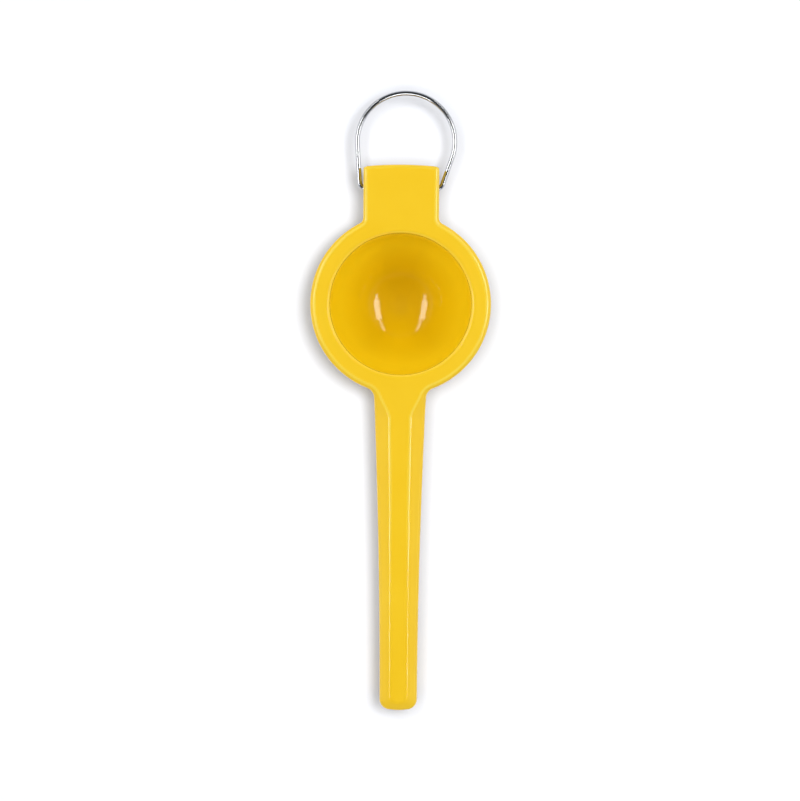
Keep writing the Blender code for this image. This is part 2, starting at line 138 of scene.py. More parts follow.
# How the enamel melts over a casting: size of the skin's net, and rounds of smoothing
ENAMEL_NET = 0.0006
ENAMEL_ROUNDS = 4

# Painted highlight, a lighter yellow along the land's edge: full within the first distance below of it
# and gone at the second. It fades out at the head's end, and along the handle up to the share below of its
# length.
HIGHLIGHT_CORE = 0.0002
HIGHLIGHT_HALF = 0.0007
HIGHLIGHT_SHARE = 0.85
HIGHLIGHT_STRENGTH = 0.62
HIGHLIGHT_HEAD_FADE = 0.0030
HIGHLIGHT_STEP = 0.0002

# Painted light and shade in the bowl: it starts over the lip between two radii, then a lighter tone
# painted on the wall against its shade changes between two depths down the wall, and a deeper, less blue
# painted shade comes in between two depths in the bottom
BOWL_PAINT_START = 0.0288
BOWL_PAINT_FULL = 0.0282
WALL_LIGHT_TOP = 0.0010
WALL_LIGHT_END = 0.0120
BOTTOM_SHADE_TOP = 0.0200
BOTTOM_SHADE_END = 0.0300

# How far a cutter passes the face that it opens, and how near two points are made one
OVERRUN = 0.0010
WELD_DISTANCE = 1e-6

# Steps of the curves and rows of the handles
HEAD_STEPS = 10
FILLET_STEPS = 14
RIM_STEPS = 120
END_STEPS = 12
LAND_STEPS = 8
SHOULDER_STEPS = 10
FLARE_ROWS = 16
HANDLE_ROWS = 60
CHANNEL_ROWS = 80
TURN_STEPS = 256
BOWL_STEPS = 48
CHEEK_STEPS = 48
KNUCKLE_STEPS = 40
PIN_STEPS = 64
DRAIN_STEPS = 40
LOOP_BEND_STEPS = 16
LOOP_BOW_STEPS = 60
WIRE_SIDES = 20

# Edges sharper than this stay sharp on the steel parts, in degrees
SHARP_ANGLE = 50.0

# The photograph's view: straight down from CAMERA_HEIGHT over the rim, FRAME_WIDTH wide there, turned by
# ROLL degrees
CAMERA_HEIGHT = 2.0
FRAME_WIDTH = 0.3160
VIEW_MIDDLE = (0.0, -0.0381)
ROLL = 0.35
SENSOR_WIDTH = 36.0
FLOOR_HALF = 8.0


def eased(share):
    """Eases a share of the way from 0 to 1."""
    share = min(max(share, 0.0), 1.0)
    return share * share * (3 - 2 * share)


def ramp(run, length, ease_in, ease_out):
    """Share of a straight slope over this length, eased at both ends, that is climbed at this run."""
    run = min(max(run, 0.0), length)
    steady = length - (ease_in + ease_out) / 2
    if run < ease_in:
        return run**2 / (2 * ease_in * steady)
    left = length - run
    if left < ease_out:
        return 1 - left**2 / (2 * ease_out * steady)
    return (run - ease_in / 2) / steady


def taper(neck_half, end_half, share):
    """Half width of a handle at a share of its length, narrowing fast at the neck and slowly at the end."""
    return end_half + (neck_half - end_half) * (1 - share) ** TAPER_POWER


def bow(x, radius):
    """How far a bowed end has fallen back at this distance from its middle."""
    return x**2 / (2 * radius)


def arc(centre, radius, start, end, steps):
    """Points on a circle from one angle to another, in radians."""
    angles = [start + (end - start) * i / steps for i in range(steps + 1)]
    return [Vector((centre[0] + radius * math.cos(a), centre[1] + radius * math.sin(a))) for a in angles]


def arm_outline(rim, head_half, head_end, neck_half, end_half, handle_end):
    """The +X half of an arm's outline in plan, from the end of the head round the rim to the handle's end."""
    points = []
    corner_x = head_half - HEAD_CORNER
    for i in range(HEAD_STEPS):
        x = corner_x * (i + 0.5) / HEAD_STEPS
        points.append(Vector((x, head_end - bow(x, HEAD_BOW_RADIUS))))
    corner_y = head_end - bow(corner_x, HEAD_BOW_RADIUS) - HEAD_CORNER
    points += arc((corner_x, corner_y), HEAD_CORNER, math.pi / 2, 0.0, HEAD_STEPS)
    head_x = head_half + FILLET
    head_y = math.sqrt((rim + FILLET) ** 2 - head_x**2)
    head_turn = math.atan2(head_y, head_x)
    points += arc((head_x, head_y), FILLET, math.pi, math.pi + head_turn, FILLET_STEPS)
    neck_x = neck_half + NECK_FILLET
    neck_y = math.sqrt((rim + NECK_FILLET) ** 2 - neck_x**2)
    neck_turn = math.atan2(neck_y, neck_x)
    points += arc((0.0, 0.0), rim, head_turn, -neck_turn, RIM_STEPS)[1:-1]
    points += arc((neck_x, -neck_y), NECK_FILLET, math.pi - neck_turn, math.pi, FLARE_ROWS)
    end = handle_end_outline(end_half, handle_end, END_CORNER)
    for i in range(1, HANDLE_ROWS):
        share = i / HANDLE_ROWS
        points.append(Vector((taper(neck_half, end_half, share), -neck_y + (end[0].y + neck_y) * share)))
    return points + end


def handle_end_outline(end_half, handle_end, corner):
    """The +X half of the outline round a handle's bowed end."""
    corner_x = end_half - corner
    corner_y = -handle_end + bow(corner_x, END_BOW_RADIUS) + corner
    points = arc((corner_x, corner_y), corner, 0.0, -math.pi / 2, END_STEPS)
    points.append(Vector((corner_x / 2, -handle_end + bow(corner_x / 2, END_BOW_RADIUS))))
    return points


def inward(line, i):
    """Unit vector at point i of an outline, square to it and towards its inside."""
    along = (line[min(i + 1, len(line) - 1)] - line[max(i - 1, 0)]).normalized()
    return Vector((along.y, -along.x))


def round_corner(start, corner, end, steps):
    """Points of a curve that leaves start and reaches end along the two sides of a corner."""
    shares = [i / steps for i in range(steps + 1)]
    return [start * (1 - t) ** 2 + corner * (2 * t * (1 - t)) + end * t**2 for t in shares]


class Casting:
    """Plan and heights of one arm: its open side faces the other arm, its land runs along its outer side."""

    def __init__(self, rim, head_half, head_end, narrowing, shortening, open_height, land_height):
        self.neck_half = (NECK_WIDTH - narrowing) / 2
        self.end_half = (END_WIDTH - narrowing) / 2
        self.land_neck_half = (LAND_NECK_WIDTH - narrowing) / 2
        self.land_end_half = (LAND_END_WIDTH - narrowing) / 2
        self.reach = HANDLE_REACH - shortening
        self.neck = math.sqrt((rim + NECK_FILLET) ** 2 - (self.neck_half + NECK_FILLET) ** 2)
        self.length = self.reach - self.neck
        self.open_height = open_height
        self.land_height = land_height
        self.outline = arm_outline(rim, head_half, head_end, self.neck_half, self.end_half, self.reach)
        self.land_line = self.land_outline()

    def open_z(self, y):
        return self.open_height(-y - self.neck, self.length)

    def land_z(self, y):
        return self.land_height(-y - self.neck, self.length)

    def halves(self, y):
        """Half widths of the handle over all and of its land at this y."""
        share = (-y - self.neck) / self.length
        return (
            taper(self.neck_half, self.end_half, share),
            taper(self.land_neck_half, self.land_end_half, share),
        )

    def land_outline(self):
        """Outline of the land: a bevel inside the rim and head, then flared in to the handle's strip."""
        end = handle_end_outline(self.land_end_half, self.reach - END_SLOPE_LENGTH, LAND_CORNER)
        flare_start = len(self.outline) - len(end) - HANDLE_ROWS - FLARE_ROWS
        line = []
        run = 0.0
        for i in range(len(self.outline) - len(end)):
            edge = self.outline[i]
            if i > flare_start:
                run += (edge - self.outline[i - 1]).length
            half, land_half = self.halves(min(edge.y, -self.neck))
            bevel = HEAD_BEVEL + (RIM_BEVEL - HEAD_BEVEL) * eased((HINGE.y - edge.y) / BEVEL_BLEND)
            flared = ramp(run, LAND_FLARE_LENGTH, LAND_FLARE_EASE_IN, LAND_FLARE_EASE_OUT)
            line.append(edge + inward(self.outline, i) * (bevel + (half - land_half - bevel) * flared))
        return line + end

    def section(self, place):
        """One side of the arm's section there: land, gentle side, rounded shoulder, wall and open side."""
        land, edge = self.land_line[place], self.outline[place]
        inside = inward(self.land_line, place)
        foot = Vector((edge.x, edge.y, self.open_z(edge.y)))
        up = math.copysign(1.0, self.land_z(edge.y) - foot.z)
        fall = (edge - land).length * math.tan(math.radians(SIDE_SLOPE))
        shoulder = Vector((edge.x, edge.y, self.land_z(edge.y) - up * fall))
        crest = Vector((land.x, land.y, self.land_z(land.y)))
        width = (shoulder - crest).length

        def back(run):
            """The point this far back from the shoulder, up the side and on along the land."""
            if run < width:
                return shoulder + (crest - shoulder) * (run / width)
            spot = land + inside * (run - width)
            return Vector((spot.x, spot.y, self.land_z(spot.y)))

        softening = eased((-land.y - self.neck) / self.length)
        rounding = LAND_ROUNDING + (LAND_END_ROUNDING - LAND_ROUNDING) * softening
        near = max(width - rounding, EDGE_ROUNDING + EDGE_CHAMFER)
        far = max(width + rounding, near + EDGE_CHAMFER)
        middle = width if near < width else (near + far) / 2
        lift = Vector((0.0, 0.0, up))
        points = round_corner(back(far), back(middle), back(near), LAND_STEPS)
        wall_top = shoulder - lift * EDGE_ROUNDING
        points += round_corner(back(EDGE_ROUNDING), shoulder, wall_top, SHOULDER_STEPS)
        points.append(foot + lift * EDGE_CHAMFER)
        under = edge + inward(self.outline, place) * EDGE_CHAMFER
        points.append(Vector((under.x, under.y, self.open_z(under.y))))
        return points

    def blank(self, name):
        """Plate and handle as one closed solid."""
        mesh = bmesh.new()
        halves = []
        for side in (1, -1):
            rows = []
            for i in range(len(self.land_line)):
                rows.append([mesh.verts.new((side * p.x, p.y, p.z)) for p in self.section(i)])
            halves.append(rows)
            for row, following in zip(rows, rows[1:]):
                for k in range(len(row) - 1):
                    mesh.faces.new((row[k], row[k + 1], following[k + 1], following[k]))
        right, left = halves
        for i in range(len(right) - 1):
            for k in (0, -1):
                mesh.faces.new((right[i][k], right[i + 1][k], left[i + 1][k], left[i][k]))
        for i in (0, -1):
            for k in range(len(right[i]) - 1):
                mesh.faces.new((right[i][k], right[i][k + 1], left[i][k + 1], left[i][k]))
        return closed(name, mesh)

    def channel(self, name):
        """What is hollow in the handle's open side. Its roof follows the back; both ends run out."""
        first = self.neck + CHANNEL_START
        last = self.reach - CHANNEL_END
        draft = math.tan(math.radians(CHANNEL_DRAFT))
        mesh = bmesh.new()
        rows = []
        for i in range(CHANNEL_ROWS + 1):
            y = -first - (last - first) * i / CHANNEL_ROWS
            half, land_half = self.halves(y)
            open_z, land_z = self.open_z(y), self.land_z(y)
            up = math.copysign(1.0, land_z - open_z)
            full_cut = abs(land_z - open_z) - CHANNEL_ROOF
            runout = min(-y - first, last + y)
            cut = CHANNEL_TIP_DEPTH + (full_cut - CHANNEL_TIP_DEPTH) * eased(runout / CHANNEL_RUNOUT)
            mouth_half = half - CHANNEL_WALL
            roof_half = mouth_half - draft * cut
            side_fall = (roof_half - land_half) * math.tan(math.radians(SIDE_SLOPE))
            side_cut = cut * (1 - side_fall / full_cut)
            right = [
                (mouth_half + draft * OVERRUN, open_z - up * OVERRUN),
                (roof_half, open_z + up * side_cut),
                (land_half, open_z + up * cut),
            ]
            corners = right + [(-x, z) for x, z in reversed(right)]
            rows.append([mesh.verts.new((x, y, z)) for x, z in corners])
        for row, following in zip(rows, rows[1:]):
            for k in range(len(row)):
                beside = (k + 1) % len(row)
                mesh.faces.new((row[k], row[beside], following[beside], following[k]))
        mesh.faces.new(rows[0])
        mesh.faces.new(rows[-1])
        return closed(name, mesh)


def closed(name, mesh):
    """An object from a closed bmesh, smooth shaded."""
    bmesh.ops.remove_doubles(mesh, verts=mesh.verts, dist=WELD_DISTANCE)
    bmesh.ops.recalc_face_normals(mesh, faces=mesh.faces)
    data = bpy.data.meshes.new(name)
    mesh.to_mesh(data)
    mesh.free()
    data.shade_smooth()
    thing = bpy.data.objects.new(name, data)
    bpy.context.scene.collection.objects.link(thing)
    return thing


def turned(name, profile, axis=(0, 0, 1), steps=TURN_STEPS, centre=(0, 0, 0)):
    """A solid turned about an axis, from (radius, height) points along its outer side."""
    mesh = bmesh.new()
    verts = [mesh.verts.new((radius, 0.0, height)) for radius, height in profile]
    edges = [mesh.edges.new(pair) for pair in zip(verts, verts[1:])]
    bmesh.ops.spin(
        mesh, geom=verts + edges, cent=(0, 0, 0), axis=(0, 0, 1), angle=2 * math.pi, steps=steps,
        use_merge=True,
    )
    turn = Vector((0, 0, 1)).rotation_difference(Vector(axis)).to_matrix().to_4x4()
    bmesh.ops.transform(mesh, matrix=Matrix.Translation(centre) @ turn, verts=mesh.verts)
    return closed(name, mesh)


def bowl_profile(radius, depth, height, start_drop=0.0, end_radius=0.0):
    """Points of a quarter ellipse, from its widest height down to its bottom."""
    first = math.asin(start_drop / depth)
    last = math.acos(end_radius / radius)
    angles = [first + (last - first) * i / BOWL_STEPS for i in range(BOWL_STEPS + 1)]
    return [(radius * math.cos(a), height - depth * math.sin(a)) for a in angles]


def slab(name, outline, first_x, last_x):
    """A plate between two planes across X, from (y, z) points round its outline."""
    mesh = bmesh.new()
    face = mesh.faces.new([mesh.verts.new((first_x, y, z)) for y, z in outline])
    made = bmesh.ops.extrude_face_region(mesh, geom=[face])
    moved = [item for item in made["geom"] if isinstance(item, bmesh.types.BMVert)]
    bmesh.ops.translate(mesh, verts=moved, vec=(last_x - first_x, 0, 0))
    return closed(name, mesh)


def hinge_arc(radius, start, end, steps):
    """Points (y, z) on a circle about the hinge."""
    return [tuple(p) for p in arc(HINGE.yz, radius, math.radians(start), math.radians(end), steps)]


def pin_hole(name):
    """Cutter for the hole that the hinge pin passes through."""
    half = HEAD_WIDTH / 2 + OVERRUN
    profile = [(0, half), (HOLE_RADIUS, half), (HOLE_RADIUS, -half), (0, -half)]
    return turned(name, profile, (1, 0, 0), PIN_STEPS, HINGE)


def drain_holes():
    """Every drain hole of the cup, upright, in rings about a whole middle."""
    mesh = bmesh.new()
    for ring in range(1, DRAIN_RINGS + 1):
        count = ring * FIRST_RING_HOLES
        for i in range(count):
            turn = 2 * math.pi * i / count
            place = ring * DRAIN_SPACING * Vector((math.sin(turn), math.cos(turn), 0))
            bmesh.ops.create_cone(
                mesh, cap_ends=True, segments=DRAIN_STEPS, radius1=DRAIN_RADIUS, radius2=DRAIN_RADIUS,
                depth=LIP_TOP, matrix=Matrix.Translation(place),
            )
    return closed("drain_holes", mesh)


def paint_land_highlight(mesh, arm):
    """Writes on each point how much painted highlight it gets: most on the land's edge, less along the
    handle.
    """
    path = [Vector((0.0, arm.land_line[0].y))] + arm.land_line[:-1]
    spots = []
    for first, second in zip(path, path[1:]):
        steps = math.ceil((second - first).length / HIGHLIGHT_STEP)
        spots += [first + (second - first) * (i / steps) for i in range(steps)]
    tree = KDTree(2 * len(spots))
    for i, spot in enumerate(spots):
        for side in (0, 1):
            tree.insert(((1 - 2 * side) * spot.x, spot.y, arm.land_z(spot.y)), 2 * i + side)
    tree.balance()
    values = []
    for point in mesh.vertices:
        spot, _, distance = tree.find(point.co)
        off = eased((distance - HIGHLIGHT_CORE) / (HIGHLIGHT_HALF - HIGHLIGHT_CORE))
        from_head = eased((HEAD_END - spot.y) / HIGHLIGHT_HEAD_FADE)
        along_handle = 1 - eased((-spot.y - arm.neck) / (HIGHLIGHT_SHARE * arm.length))
        values.append(HIGHLIGHT_STRENGTH * from_head * along_handle * (1 - off))
    mesh.attributes.new("crest", "FLOAT", "POINT").data.foreach_set("value", values)


def cast(arm, blank, added, cut):
    """Joins what is cast on, cuts what is hollow, and melts the enamel's skin over it all."""
    for shape, operation in [(s, "UNION") for s in added] + [(s, "DIFFERENCE") for s in cut]:
        step = blank.modifiers.new(shape.name, "BOOLEAN")
        step.operation = operation
        step.solver = "EXACT"
        step.object = shape
    skin = blank.modifiers.new("enamel skin", "REMESH")
    skin.mode = "VOXEL"
    skin.voxel_size = ENAMEL_NET
    skin.use_smooth_shade = True
    melt = blank.modifiers.new("melted edges", "SMOOTH")
    melt.factor = 0.5
    melt.iterations = ENAMEL_ROUNDS
    bpy.context.view_layer.update()
    whole = blank.evaluated_get(bpy.context.evaluated_depsgraph_get())
    melted = bpy.data.meshes.new_from_object(whole)
    melted.name = blank.name
    blank.modifiers.clear()
    blank.data = melted
    melted.shade_smooth()
    paint_land_highlight(melted, arm)
    for shape in added + cut:
        bpy.data.objects.remove(shape)
    return blank


def make_upper_casting():
    """Rim, dome, hinge head and upper handle."""

    def land_height(past_neck, length):
        return RIM_TOP - HANDLE_ARCH * (max(past_neck, 0.0) / length) ** 2

    def open_height(past_neck, length):
        deepening = (HANDLE_DEPTH - RIM_THICKNESS) * eased(past_neck / DEEPENING_LENGTH)
        return land_height(past_neck, length) - RIM_THICKNESS - deepening

    arm = Casting(RIM_RADIUS, HEAD_WIDTH / 2, HEAD_END, 0.0, 0.0, open_height, land_height)
    middle = (RIM_UNDERSIDE + RIM_TOP) / 2
    profile = [(0, middle), (DOME_RADIUS, middle)] + bowl_profile(DOME_RADIUS, DOME_RADIUS, RIM_UNDERSIDE)
    dome = turned("dome_outside", profile)
    roll_middle = (MOUTH_RADIUS + MOUTH_ROUNDING, RIM_TOP - MOUTH_ROUNDING)
    profile = [(0, RIM_TOP + OVERRUN), (roll_middle[0], RIM_TOP + OVERRUN)]
    for i in range(MOUTH_STEPS + 1):
        turn = math.pi / 2 * (1 + i / MOUTH_STEPS)
        across, up = MOUTH_ROUNDING * math.cos(turn), MOUTH_ROUNDING * math.sin(turn)
        profile.append((roll_middle[0] + across, roll_middle[1] + up))
    profile += bowl_profile(MOUTH_RADIUS, MOUTH_RADIUS, RIM_UNDERSIDE)
    bowl = turned("bowl_inside", profile)
    outline = [(HINGE.y - CHEEK_RADIUS, middle)] + hinge_arc(CHEEK_RADIUS, 180, 360, CHEEK_STEPS)
    outline.append((HINGE.y + CHEEK_RADIUS, middle))
    outside = HEAD_WIDTH / 2
    cheeks = [
        slab("right_cheek", outline, outside - CHEEK_THICKNESS, outside),
        slab("left_cheek", outline, -outside, CHEEK_THICKNESS - outside),
    ]
    hollows = [bowl, arm.channel("upper_channel"), pin_hole("cheek_hole")]
    return cast(arm, arm.blank("upper_casting"), [dome] + cheeks, hollows)


def make_lower_casting():
    """Cup, tongue and lower handle."""
    drop = LIP_TOP - HANDLE_DEPTH

    def open_height(past_neck, length):
        return LIP_TOP - drop * ramp(past_neck, length, DIP_START, DIP_END)

    def land_height(past_neck, length):
        gusset = (HANDLE_DEPTH - LIP_HEIGHT) * eased(1 + past_neck / GUSSET_LENGTH)
        return open_height(past_neck, length) - LIP_HEIGHT - gusset

    smaller = (LOWER_NARROWING, LOWER_SHORTENING)
    arm = Casting(LIP_RADIUS, TONGUE_HALF, HINGE.y, *smaller, open_height, land_height)
    depth = LIP_TOP / math.sqrt(1 - (BASE_RADIUS / CUP_OUTSIDE) ** 2)
    profile = bowl_profile(CUP_OUTSIDE, depth, LIP_TOP, start_drop=LIP_HEIGHT / 2, end_radius=BASE_RADIUS)
    cup = turned("cup_outside", [(0, LIP_TOP - LIP_HEIGHT / 2)] + profile + [(0, 0)])
    profile = [(0, LIP_TOP + OVERRUN), (CUP_RADIUS, LIP_TOP + OVERRUN)]
    inside = turned("cup_inside", profile + bowl_profile(CUP_RADIUS, CUP_DEPTH, LIP_TOP))
    facing = Vector((math.cos(math.radians(STOP_ANGLE)), math.sin(math.radians(STOP_ANGLE))))
    along = Vector((facing.y, -facing.x))
    stop_start = HINGE.yz + facing * STOP_REACH
    bottom = HINGE.z - TONGUE_DEPTH
    stop_end = stop_start + along * ((bottom - stop_start.y) / along.y)
    inner_y = CUP_RADIUS - CUP_WALL
    outline = [(inner_y, HINGE.z + KNUCKLE_RADIUS)]
    outline += hinge_arc(KNUCKLE_RADIUS, 90, STOP_ANGLE + STOP_BLEND, KNUCKLE_STEPS)
    outline += [tuple(stop_start), tuple(stop_end), (inner_y, bottom)]
    tongue = slab("tongue", outline, -TONGUE_HALF, TONGUE_HALF)
    hollows = [inside, drain_holes(), arm.channel("lower_channel"), pin_hole("tongue_hole")]
    return cast(arm, arm.blank("lower_casting"), [cup, tongue], hollows)


def make_pin():
    """Steel tube, its ends turned and their edges rounded by one point between two flats."""
    rounded = PIN_EDGE * 0.3
    profile = [
        (PIN_BORE_RADIUS, PIN_HALF),
        (PIN_RADIUS - PIN_EDGE, PIN_HALF),
        (PIN_RADIUS - rounded, PIN_HALF - rounded),
        (PIN_RADIUS, PIN_HALF - PIN_EDGE),
        (PIN_RADIUS, PIN_EDGE - PIN_HALF),
        (PIN_RADIUS - rounded, rounded - PIN_HALF),
        (PIN_RADIUS - PIN_EDGE, -PIN_HALF),
        (PIN_BORE_RADIUS, -PIN_HALF),
        (PIN_BORE_RADIUS, PIN_HALF),
    ]
    pin = turned("pin_tube", profile, (1, 0, 0), PIN_STEPS, HINGE)
    pin.data.set_sharp_from_angle(angle=math.radians(SHARP_ANGLE))
    return pin


def loop_path():
    """Middle line of the wire in plan about the hinge: stub, bend, leg, round bow, leg, bend, stub."""
    halves = []
    for sign in (1, -1):
        bend_centre = Vector((LOOP_SIDE - LOOP_BEND, LOOP_BEND))
        centre = Vector((sign * LOOP_LEAN, LOOP_REACH))
        reach = centre - bend_centre
        lean = math.asin((LOOP_RADIUS - LOOP_BEND) / reach.length)
        touch = math.atan2(reach.y, reach.x) - math.pi / 2 - lean
        half = [Vector((LOOP_SIDE - LOOP_BEND - LOOP_STUB, 0.0))]
        half += arc(bend_centre, LOOP_BEND, -math.pi / 2, touch, LOOP_BEND_STEPS)
        half += arc(centre, LOOP_RADIUS, touch, math.pi / 2, LOOP_BOW_STEPS)
        halves.append([Vector((sign * p.x, p.y)) for p in half])
    right, left = halves
    return right + left[-2::-1]


def make_loop():
    """Round wire, with a map whose v runs along the wire in metres for the drawing lines."""
    path = loop_path()
    mesh = bmesh.new()
    run = mesh.loops.layers.uv.new("wire_run")
    rings, lengths = [], [0.0]
    for i, point in enumerate(path):
        along = (path[min(i + 1, len(path) - 1)] - path[max(i - 1, 0)]).normalized()
        across = Vector((along.y, -along.x, 0.0))
        middle = Vector((point.x, HINGE.y + point.y, HINGE.z))
        ring = []
        for k in range(WIRE_SIDES):
            turn = 2 * math.pi * k / WIRE_SIDES
            out = math.cos(turn) * across + Vector((0, 0, math.sin(turn)))
            ring.append(mesh.verts.new(middle + WIRE_RADIUS * out))
        rings.append(ring)
        if i:
            lengths.append(lengths[-1] + (point - path[i - 1]).length)
    for i, (ring, further) in enumerate(zip(rings, rings[1:])):
        for k in range(WIRE_SIDES):
            beside = (k + 1) % WIRE_SIDES
            face = mesh.faces.new((ring[k], ring[beside], further[beside], further[k]))
            corners = ((k, i), (k + 1, i), (k + 1, i + 1), (k, i + 1))
            for corner, (step, place) in zip(face.loops, corners):
                corner[run].uv = (step / WIRE_SIDES, lengths[place])
    mesh.faces.new(rings[0])
    mesh.faces.new(rings[-1])
    loop = closed("wire_loop", mesh)
    loop.data.set_sharp_from_angle(angle=math.radians(SHARP_ANGLE))
    return loop


def linear(code):
    """A colour for a shader from its sRGB hex code."""
    parts = [int(code[i : i + 2], 16) / 255 for i in (1, 3, 5)]
    return tuple(p / 12.92 if p <= 0.04045 else ((p + 0.055) / 1.055) ** 2.4 for p in parts) + (1.0,)


def new_material(name):
    """A material with nothing but its shader and output."""
    material = bpy.data.materials.new(name)
    material.use_nodes = True
    tree = material.node_tree
    shader = tree.nodes["Principled BSDF"]
    return material, tree, shader


def add_node(tree, kind, settings=None, links=None):
    """Adds a node, sets its values or properties, and links its inputs."""
    node = tree.nodes.new(kind)
    for key, value in (settings or {}).items():
        if isinstance(key, int) or key in node.inputs.keys():
            node.inputs[key].default_value = value
        else:
            setattr(node, key, value)
    for key, source in (links or {}).items():
        tree.links.new(source, node.inputs[key])
    return node


def baked_enamel():
    """Glossy enamel sprayed and baked on cast aluminium: an even warm yellow under a clear gloss.

    Painted highlight: a lighter yellow on its rounded edges and along the land's edge. In the bowl, painted
    light: a lighter tone on the wall under the lip, against its shade, and painted shade: a deeper, less
    blue tone in its bottom. Its surface has the faint orange peel of a sprayed coat over the slow waves of
    the casting.
    """
    material, tree, shader = new_material("baked yellow enamel")
    shader.inputs["IOR"].default_value = 1.5
    shader.inputs["Specular IOR Level"].default_value = 0.34
    place = add_node(tree, "ShaderNodeTexCoord").outputs["Object"]
    # Clouds of thicker and thinner colour, about 22 mm across
    clouds = add_node(
        tree, "ShaderNodeTexNoise", {"Scale": 1 / 0.022, "Detail": 3.0, "Roughness": 0.5}, {"Vector": place}
    )
    thickness = add_node(
        tree, "ShaderNodeMapRange",
        {"From Min": 0.3, "From Max": 0.7, "To Min": 0.0, "To Max": 1.0},
        {"Value": clouds.outputs["Fac"]},
    )
    tone = add_node(
        tree, "ShaderNodeMix",
        {"data_type": "RGBA", "A": linear("#fbce2a"), "B": linear("#f9ca23")},
        {"Factor": thickness.outputs["Result"]},
    )
    # Painted highlight on rounded edges: the pointier the edge, the lighter its yellow
    edge = add_node(
        tree, "ShaderNodeMapRange",
        {"From Min": 0.52, "From Max": 0.58, "To Min": 0.0, "To Max": 0.7},
        {"Value": add_node(tree, "ShaderNodeNewGeometry").outputs["Pointiness"]},
    )
    # Painted highlight along the land's edge, from the value written on each point
    crest = add_node(tree, "ShaderNodeAttribute", {"attribute_name": "crest"})
    edge_highlight = add_node(
        tree, "ShaderNodeMath", {"operation": "MAXIMUM"},
        {0: edge.outputs["Result"], 1: crest.outputs["Fac"]},
    )
    # The painted highlights lighten the yellow towards a pale one
    colour = add_node(
        tree, "ShaderNodeMix",
        {"data_type": "RGBA", "B": linear("#ffe660")},
        {"Factor": edge_highlight.outputs[0], "A": tone.outputs[2]},
    )
    # Over the lip of the bowl the colour turns to painted light on the wall against its shade, fading down
    # the wall, and to painted shade, deeper and less blue, in its bottom
    apart = add_node(tree, "ShaderNodeSeparateXYZ", {}, {"Vector": place})
    across = add_node(
        tree, "ShaderNodeMath", {"operation": "POWER", 1: 2.0}, {0: apart.outputs["X"]}
    )
    along = add_node(
        tree, "ShaderNodeMath", {"operation": "POWER", 1: 2.0}, {0: apart.outputs["Y"]}
    )
    spread = add_node(
        tree, "ShaderNodeMath", {"operation": "ADD"}, {0: across.outputs[0], 1: along.outputs[0]}
    )
    bowl_paint_mask = add_node(
        tree, "ShaderNodeMapRange",
        {"From Min": BOWL_PAINT_START**2, "From Max": BOWL_PAINT_FULL**2, "To Min": 0.0, "To Max": 1.0},
        {"Value": spread.outputs[0]},
    )
    wall_light_fade = add_node(
        tree, "ShaderNodeMapRange",
        {"From Min": RIM_TOP - WALL_LIGHT_TOP, "From Max": RIM_TOP - WALL_LIGHT_END},
        {"Value": apart.outputs["Z"]},
    )
    # Painted light: a lighter yellow on the wall under the lip, against its shade
    wall_painted_light = add_node(
        tree, "ShaderNodeMix",
        {"data_type": "RGBA", "A": linear("#fddc48"), "B": linear("#fbd819")},
        {"Factor": wall_light_fade.outputs["Result"]},
    )
    bottom_shade_mask = add_node(
        tree, "ShaderNodeMapRange",
        {"From Min": RIM_TOP - BOTTOM_SHADE_TOP, "From Max": RIM_TOP - BOTTOM_SHADE_END},
        {"Value": apart.outputs["Z"]},
    )
    # Painted shade: a deeper, less blue yellow in the bowl's bottom
    bowl_painted_light_and_shade = add_node(
        tree, "ShaderNodeMix",
        {"data_type": "RGBA", "B": linear("#f0c808")},
        {"Factor": bottom_shade_mask.outputs["Result"], "A": wall_painted_light.outputs[2]},
    )
    bowl_painted_mix = add_node(
        tree, "ShaderNodeMix",
        {"data_type": "RGBA"},
        {"Factor": bowl_paint_mask.outputs["Result"], "A": colour.outputs[2], "B": bowl_painted_light_and_shade.outputs[2]},
    )
    tree.links.new(bowl_painted_mix.outputs[2], shader.inputs["Base Color"])
    # Orange peel, about 1.4 mm across, over casting waves of about 12 mm
    peel = add_node(
        tree, "ShaderNodeTexNoise", {"Scale": 1 / 0.0014, "Detail": 2.0, "Roughness": 0.4}, {"Vector": place}
    )
    gloss = add_node(
        tree, "ShaderNodeMapRange",
        {"From Min": 0.25, "From Max": 0.75, "To Min": 0.06, "To Max": 0.10},
        {"Value": peel.outputs["Fac"]},
    )
    tree.links.new(gloss.outputs["Result"], shader.inputs["Roughness"])
    waves = add_node(
        tree, "ShaderNodeTexNoise", {"Scale": 1 / 0.012, "Detail": 1.0, "Roughness": 0.3}, {"Vector": place}
    )
    slow = add_node(
        tree, "ShaderNodeBump", {"Strength": 0.35, "Distance": 0.00006}, {"Height": waves.outputs["Fac"]}
    )
    skin = add_node(
        tree, "ShaderNodeBump", {"Strength": 0.30, "Distance": 0.000006},
        {"Height": peel.outputs["Fac"], "Normal": slow.outputs["Normal"]},
    )
    tree.links.new(skin.outputs["Normal"], shader.inputs["Normal"])
    return material


